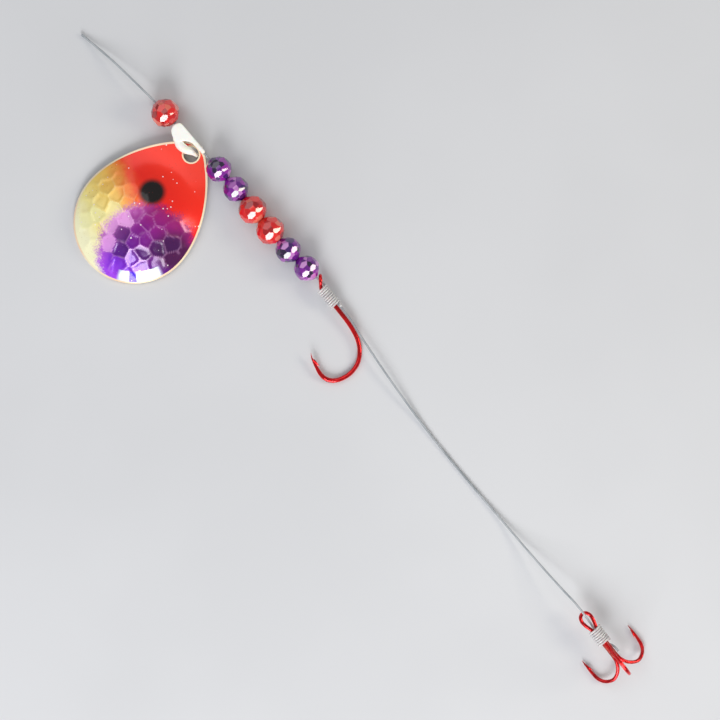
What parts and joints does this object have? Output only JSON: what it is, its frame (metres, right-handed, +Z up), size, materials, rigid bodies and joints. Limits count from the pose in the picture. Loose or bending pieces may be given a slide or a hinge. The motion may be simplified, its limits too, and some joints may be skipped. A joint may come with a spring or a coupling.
{
  "type": "inline spinner",
  "caption": "Worm-fishing spinner rig on clear line, with faceted beads, a quick-change clevis and teardrop blade, a single hook and a treble hook.",
  "frame": {"origin": "under the middle of the rig without its line, on the surface that it lies on", "axes": "+X down the line from the beads to the treble hook; +Y across the line, away from the blade; +Z up"},
  "size_m": [0.183, 0.0378, 0.0118],
  "materials": {
    "clear_line": "clear nylon line, polished",
    "red_acrylic": "translucent, faceted and polished",
    "purple_acrylic": "translucent, faceted and polished",
    "white_nylon": "moulded, satin",
    "painted_brass": "clear-coated lacquer blend over hammered brass",
    "red_hook_steel": "red lacquered, glossy",
    "brazing_alloy": "lacquered over brazing, satin"
  },
  "bodies": {
    "leader": {"leader_line": "clear_line", "front_hook": "red_hook_steel", "front_snell": "clear_line"},
    "upper_bead_turning": {"upper_bead": "red_acrylic"},
    "purple_bead_1_turning": {"purple_bead_1": "purple_acrylic"},
    "purple_bead_2_turning": {"purple_bead_2": "purple_acrylic"},
    "red_bead_1_turning": {"red_bead_1": "red_acrylic"},
    "red_bead_2_turning": {"red_bead_2": "red_acrylic"},
    "purple_bead_3_turning": {"purple_bead_3": "purple_acrylic"},
    "purple_bead_4_turning": {"purple_bead_4": "purple_acrylic"},
    "clevis": {"clevis_body": "white_nylon"},
    "finger": {"clevis_finger": "white_nylon"},
    "blade": {"spinner_blade": "painted_brass"},
    "tail": {"tail_line": "clear_line", "treble_pair_wire": "red_hook_steel", "treble_third_wire": "red_hook_steel", "treble_braze_right": "brazing_alloy", "treble_braze_left": "brazing_alloy", "rear_snell": "clear_line"}
  },
  "joints": [
    {"name": "upper_bead_turn", "type": "hinge", "parent": "leader", "child": "upper_bead_turning", "pos_m": [-0.0774, 0.01555, 0.00316], "axis": [1, 0, 0], "continuous": true},
    {"name": "purple_bead_1_turn", "type": "hinge", "parent": "leader", "child": "purple_bead_1_turning", "pos_m": [-0.0605, 0.0159, 0.00316], "axis": [1, 0, 0], "continuous": true},
    {"name": "purple_bead_2_turn", "type": "hinge", "parent": "leader", "child": "purple_bead_2_turning", "pos_m": [-0.05485, 0.0157, 0.00316], "axis": [1, 0, 0], "continuous": true},
    {"name": "red_bead_1_turn", "type": "hinge", "parent": "leader", "child": "red_bead_1_turning", "pos_m": [-0.04908, 0.01535, 0.00316], "axis": [1, 0, 0], "continuous": true},
    {"name": "red_bead_2_turn", "type": "hinge", "parent": "leader", "child": "red_bead_2_turning", "pos_m": [-0.04318, 0.01515, 0.00316], "axis": [1, 0, 0], "continuous": true},
    {"name": "purple_bead_3_turn", "type": "hinge", "parent": "leader", "child": "purple_bead_3_turning", "pos_m": [-0.0374, 0.01515, 0.00316], "axis": [1, 0, 0], "continuous": true},
    {"name": "purple_bead_4_turn", "type": "hinge", "parent": "leader", "child": "purple_bead_4_turning", "pos_m": [-0.03175, 0.01545, 0.00316], "axis": [1, 0, 0], "continuous": true},
    {"name": "clevis_spin", "type": "hinge", "parent": "leader", "child": "clevis", "pos_m": [-0.0724, 0.01567, 0.00316], "axis": [-0.9997, -0.025, 0], "continuous": true},
    {"name": "finger_open", "type": "hinge", "parent": "clevis", "child": "finger", "pos_m": [-0.0714, 0.0138, 0.00316], "axis": [0, 0, -1], "range_deg": [0, 10], "stiffness_Nm_per_rad": 0.0002},
    {"name": "blade_swing", "type": "hinge", "parent": "clevis", "child": "blade", "pos_m": [-0.06704, 0.01361, 0.0015], "axis": [0, 0, 1], "range_deg": [-30, 1.5]},
    {"name": "tail_swing", "type": "hinge", "parent": "leader", "child": "tail", "pos_m": [-0.01288, 0.01417, 0.00165], "axis": [0, 0, 1], "range_deg": [-45, 45]}
  ]
}
